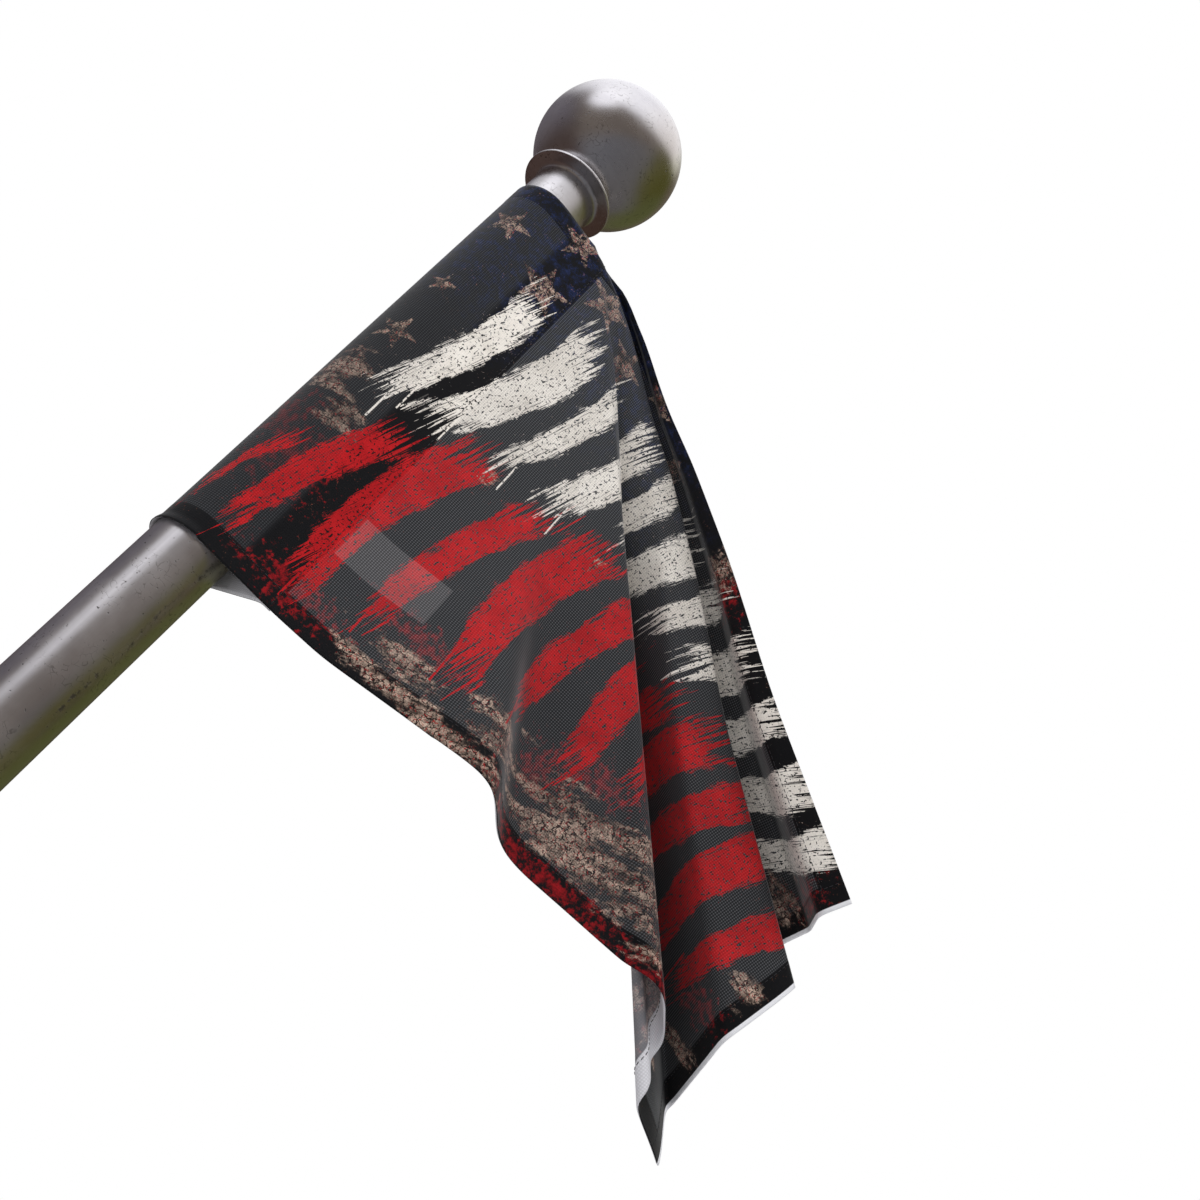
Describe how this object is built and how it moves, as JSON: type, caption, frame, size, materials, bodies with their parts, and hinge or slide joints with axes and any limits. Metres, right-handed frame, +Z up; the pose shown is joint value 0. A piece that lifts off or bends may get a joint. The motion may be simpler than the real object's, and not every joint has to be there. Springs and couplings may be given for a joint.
{
  "type": "distressed flag on a pole",
  "caption": "Small flag with a worn brush print and a sewn sleeve, hanging in pleats from a tilted round steel pole with a collar and a ball finial.",
  "frame": {"origin": "middle of the pole's lower end face", "axes": "+Z up; the pole climbs in the XZ plane towards +X at 52.5 degrees from level; the printed side of the flag faces -Y"},
  "size_m": [0.456, 0.1246, 0.6104],
  "materials": {
    "flag_cloth": "matte printed polyester",
    "label_tape": "satin tape",
    "pole_steel": "worn satin",
    "finial_steel": "worn satin"
  },
  "bodies": {
    "root": {"flag": "flag_cloth", "care_label": "label_tape", "pole": "pole_steel", "finial": "finial_steel"}
  },
  "joints": []
}
